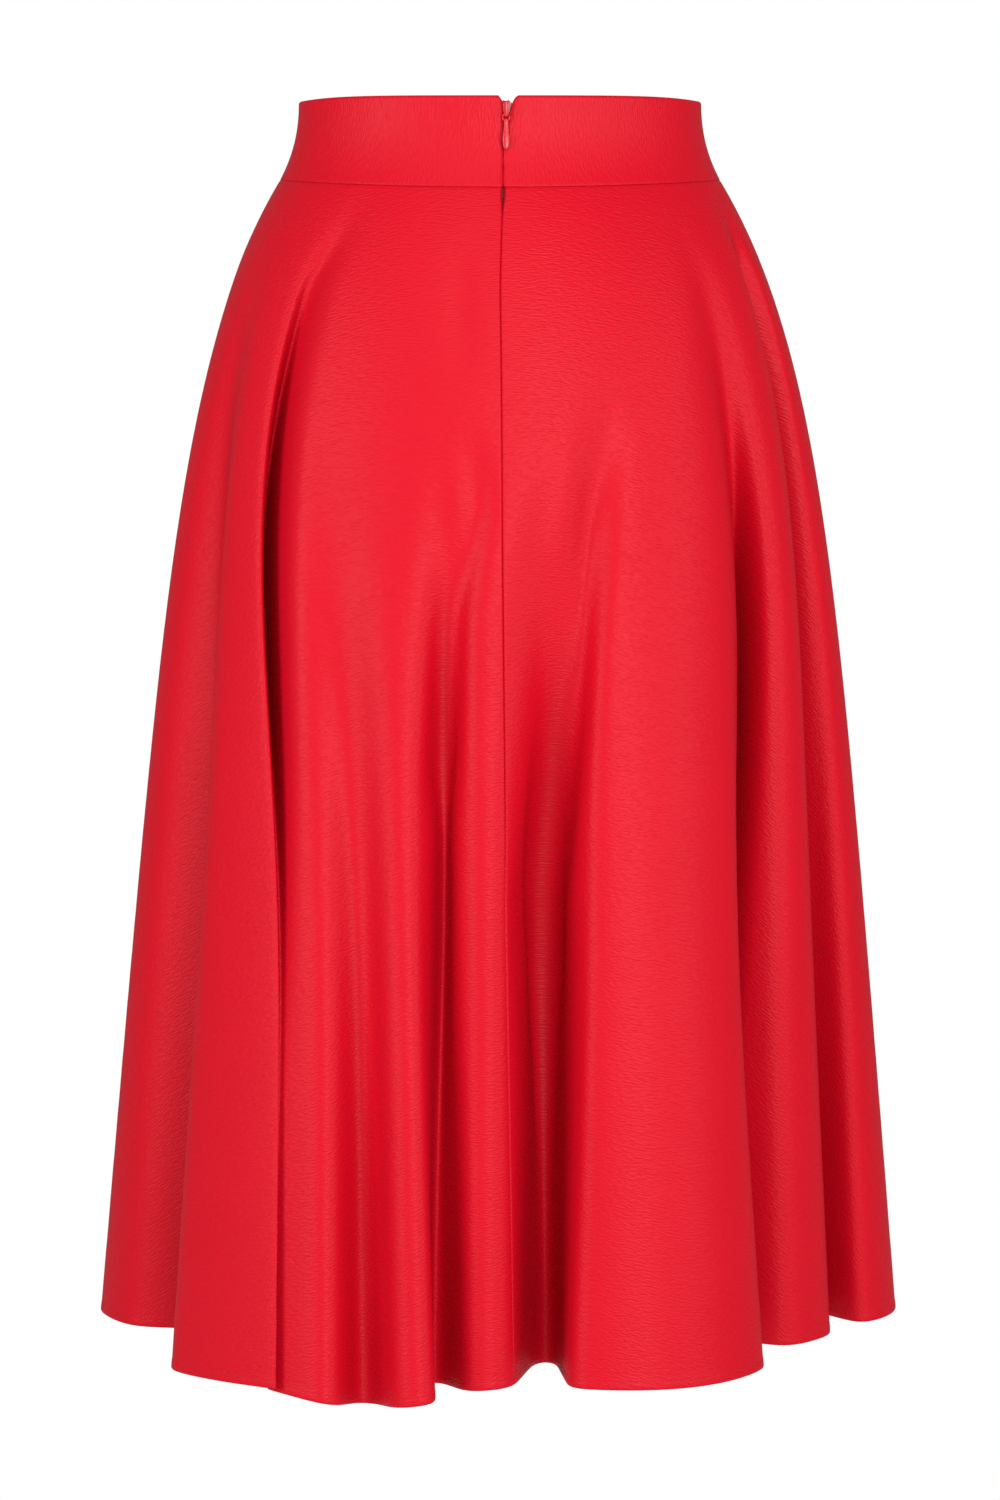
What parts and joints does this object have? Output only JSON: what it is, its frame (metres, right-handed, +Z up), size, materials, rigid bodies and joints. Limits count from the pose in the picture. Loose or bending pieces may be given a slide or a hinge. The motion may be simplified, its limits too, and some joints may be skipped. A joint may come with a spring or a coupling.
{
  "type": "flared circle skirt on a shaped waistband",
  "caption": "Knee-covering flared skirt in satin, filled out as worn, with deep flutes, a shaped waistband and a hidden back zip.",
  "frame": {"origin": "middle of the waistband's ring, half way up the band, where the wearer's waist holds the skirt", "axes": "+Z up, -Y towards the skirt's back with the zip, +Y the way the wearer faces, +X to the wearer's right"},
  "size_m": [0.5139, 0.4625, 0.7961],
  "materials": {
    "satin": "red crepe-backed satin, softly glossy with a fine crinkled grain",
    "zip_tape": "matt woven polyester tape and coil dyed to match",
    "zip_metal": "glossy red enamel"
  },
  "bodies": {
    "garment": {"skirt_front": "satin", "skirt_back_left": "satin", "skirt_back_right": "satin", "waistband_front": "satin", "waistband_back_left": "satin", "waistband_back_right": "satin", "zip_tape_left": "zip_tape", "zip_tape_right": "zip_tape", "zip_coil": "zip_tape", "zip_slider": "zip_metal"},
    "pull": {"zip_pull": "zip_metal"}
  },
  "joints": [
    {"name": "pull_swing", "type": "hinge", "parent": "garment", "child": "pull", "pos_m": [0.0037, -0.0989, 0.01575], "axis": [-1, 0, 0], "range_deg": [0, 120]}
  ]
}
